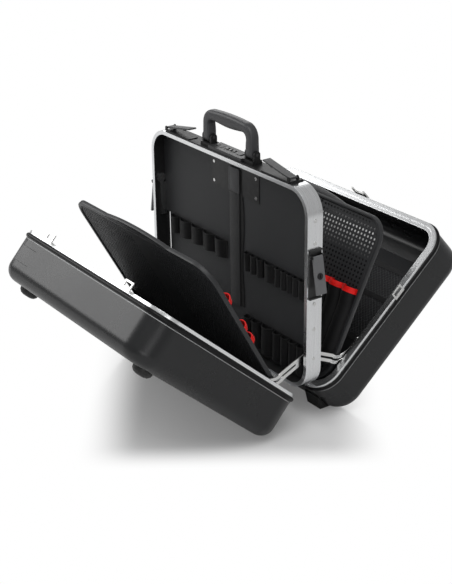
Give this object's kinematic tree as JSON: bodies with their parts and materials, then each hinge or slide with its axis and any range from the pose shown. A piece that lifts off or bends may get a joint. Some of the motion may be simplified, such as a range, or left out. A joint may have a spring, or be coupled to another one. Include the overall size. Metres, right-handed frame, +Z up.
{
  "type": "tool case",
  "caption": "Hard-shell tool case standing open: a middle frame with handle, lock and tool loops between two hinged half shells with tool boards, stays and latches.",
  "frame": {"origin": "On the ground, under the middle of the case as it stands open on its feet.", "axes": "X runs along the case and its handle, +Y points out of the middle frame over the right shell, Z is up."},
  "size_m": [0.5538, 0.7402, 0.547],
  "materials": {
    "band_aluminium": "brushed and clear anodised",
    "rim_aluminium": "satin anodised",
    "black_plastic": "fine textured black",
    "dark_plate": "satin black paint",
    "lock_plastic": "satin dark grey",
    "dial_plastic": "gloss black with white numbers",
    "handle_plastic": "satin dark grey, soft touch",
    "latch_metal": "satin dark grey",
    "bright_steel": "bright plated",
    "stay_steel": "bright rolled",
    "hinge_steel": "plated",
    "shell_plastic": "grained charcoal, moulded",
    "bead_rubber": "smooth black",
    "foot_rubber": "matt black",
    "board_plastic": "grained dark grey, finely perforated",
    "strap_webbing": "woven webbing",
    "loop_cloth": "black elastic cloth",
    "collar_cloth": "red binding",
    "net_cloth": "black net with bands"
  },
  "bodies": {
    "frame": {"frame_band": "band_aluminium", "frame_liner": "black_plastic", "tool_panel": "black_plastic", "reinforcement_plate": "dark_plate", "rivets": "bright_steel", "holding_strap": "strap_webbing", "upper_loops": "loop_cloth", "lower_pockets": "loop_cloth", "lip_clips": "black_plastic", "top_rail": "black_plastic", "lock_housing": "lock_plastic", "handle_ears": "black_plastic", "pivot_pins": "bright_steel", "top_latch_bases": "black_plastic", "side_latch_plates": "dark_plate", "latch_backs": "bright_steel", "stay_pivots": "bright_steel", "frame_hinge_leaves": "hinge_steel", "hinge_pins": "bright_steel"},
    "left_shell": {"left_tray": "shell_plastic", "left_rim": "rim_aluminium", "left_bead": "bead_rubber", "left_catch_loops": "bright_steel", "left_feet": "foot_rubber", "left_hinge_leaves": "hinge_steel", "left_stay_pins": "bright_steel", "left_board_brackets": "black_plastic"},
    "right_shell": {"right_tray": "shell_plastic", "right_rim": "rim_aluminium", "right_bead": "bead_rubber", "right_lock_hooks": "bright_steel", "right_side_catches": "bright_steel", "right_feet": "foot_rubber", "right_hinge_leaves": "hinge_steel", "right_stay_pins": "bright_steel", "right_board_brackets": "black_plastic", "right_net_pocket": "net_cloth"},
    "left_tool_board": {"left_board": "board_plastic", "left_sleeves": "loop_cloth", "left_collars": "collar_cloth"},
    "right_tool_board": {"right_board": "board_plastic", "right_sleeves": "loop_cloth", "right_collars": "collar_cloth"},
    "carry_handle": {"handle": "handle_plastic"},
    "top_latch_near": {"top_latch_near": "latch_metal"},
    "top_latch_far": {"top_latch_far": "latch_metal"},
    "side_latch_near": {"side_latch_near": "latch_metal"},
    "side_latch_far": {"side_latch_far": "latch_metal"},
    "key_near": {"key_near": "bright_steel"},
    "key_far": {"key_far": "bright_steel"},
    "dial_near": {"dial_near": "dial_plastic"},
    "dial_mid": {"dial_mid": "dial_plastic"},
    "dial_far": {"dial_far": "dial_plastic"},
    "slide_near": {"slide_near": "lock_plastic"},
    "slide_far": {"slide_far": "lock_plastic"},
    "left_stay_near": {"left_stay_near": "stay_steel"},
    "left_stay_far": {"left_stay_far": "stay_steel"},
    "right_stay_near": {"right_stay_near": "stay_steel"},
    "right_stay_far": {"right_stay_far": "stay_steel"}
  },
  "joints": [
    {"name": "left_shell_fold", "type": "hinge", "parent": "frame", "child": "left_shell", "pos_m": [0, -0.0063, 0.06704], "axis": [-1, 0, 0], "range_deg": [0, 48.6]},
    {"name": "left_board_swing", "type": "hinge", "parent": "left_shell", "child": "left_tool_board", "pos_m": [0, -0.04613, 0.05816], "axis": [-1, 0, 0], "range_deg": [-20, 0]},
    {"name": "left_stay_near_turn", "type": "hinge", "parent": "frame", "child": "left_stay_near", "pos_m": [0.2376, 0, 0.14604], "axis": [-1, 0, 0], "range_deg": [0, 84.13]},
    {"name": "left_stay_far_turn", "type": "hinge", "parent": "frame", "child": "left_stay_far", "pos_m": [-0.2376, 0, 0.14604], "axis": [-1, 0, 0], "range_deg": [0, 84.13]},
    {"name": "right_shell_fold", "type": "hinge", "parent": "frame", "child": "right_shell", "pos_m": [0, 0.0063, 0.06704], "axis": [1, 0, 0], "range_deg": [0, 48.6]},
    {"name": "right_board_swing", "type": "hinge", "parent": "right_shell", "child": "right_tool_board", "pos_m": [0, 0.04613, 0.05816], "axis": [1, 0, 0], "range_deg": [-23, 0]},
    {"name": "right_stay_near_turn", "type": "hinge", "parent": "frame", "child": "right_stay_near", "pos_m": [0.2376, 0, 0.14604], "axis": [1, 0, 0], "range_deg": [0, 84.13]},
    {"name": "right_stay_far_turn", "type": "hinge", "parent": "frame", "child": "right_stay_far", "pos_m": [-0.2376, 0, 0.14604], "axis": [1, 0, 0], "range_deg": [0, 84.13]},
    {"name": "handle_fold", "type": "hinge", "parent": "frame", "child": "carry_handle", "pos_m": [0, 0, 0.48954], "axis": [1, 0, 0], "range_deg": [-90, 90]},
    {"name": "top_latch_near_press", "type": "hinge", "parent": "frame", "child": "top_latch_near", "pos_m": [0.198, -0.0055, 0.47814], "axis": [0, -1, 0], "range_deg": [0, 10]},
    {"name": "side_latch_near_press", "type": "hinge", "parent": "frame", "child": "side_latch_near", "pos_m": [0.2621, 0, 0.34854], "axis": [0, 1, 0], "range_deg": [0, 10.7]},
    {"name": "key_near_turn", "type": "hinge", "parent": "side_latch_near", "child": "key_near", "pos_m": [0.26869, 0, 0.31366], "axis": [0.9826, 0, 0.1857], "range_deg": [0, 90]},
    {"name": "slide_near_move", "type": "slide", "parent": "frame", "child": "slide_near", "axis": [1, 0, 0], "range_m": [0, 0.005], "stiffness_N_per_m": 120, "springref_m": -0.002},
    {"name": "top_latch_far_press", "type": "hinge", "parent": "frame", "child": "top_latch_far", "pos_m": [-0.198, -0.0055, 0.47814], "axis": [0, 1, 0], "range_deg": [0, 10]},
    {"name": "side_latch_far_press", "type": "hinge", "parent": "frame", "child": "side_latch_far", "pos_m": [-0.2621, 0, 0.34854], "axis": [0, -1, 0], "range_deg": [0, 10.7]},
    {"name": "key_far_turn", "type": "hinge", "parent": "side_latch_far", "child": "key_far", "pos_m": [-0.26869, 0, 0.31366], "axis": [-0.9826, 0, 0.1857], "range_deg": [0, 90]},
    {"name": "slide_far_move", "type": "slide", "parent": "frame", "child": "slide_far", "axis": [-1, 0, 0], "range_m": [0, 0.005], "stiffness_N_per_m": 120, "springref_m": -0.002},
    {"name": "dial_near_turn", "type": "hinge", "parent": "frame", "child": "dial_near", "pos_m": [0.011, 0, 0.47354], "axis": [1, 0, 0], "continuous": true},
    {"name": "dial_mid_turn", "type": "hinge", "parent": "frame", "child": "dial_mid", "pos_m": [0, 0, 0.47354], "axis": [1, 0, 0], "continuous": true},
    {"name": "dial_far_turn", "type": "hinge", "parent": "frame", "child": "dial_far", "pos_m": [-0.011, 0, 0.47354], "axis": [1, 0, 0], "continuous": true}
  ],
  "couplings": [
    {"joint": "left_board_swing", "follows": "left_shell_fold", "ratio": -0.41152},
    {"joint": "left_stay_near_turn", "follows": "left_shell_fold", "ratio": 1.73},
    {"joint": "left_stay_far_turn", "follows": "left_shell_fold", "ratio": 1.73},
    {"joint": "right_board_swing", "follows": "right_shell_fold", "ratio": -0.47325},
    {"joint": "right_stay_near_turn", "follows": "right_shell_fold", "ratio": 1.73},
    {"joint": "right_stay_far_turn", "follows": "right_shell_fold", "ratio": 1.73}
  ]
}
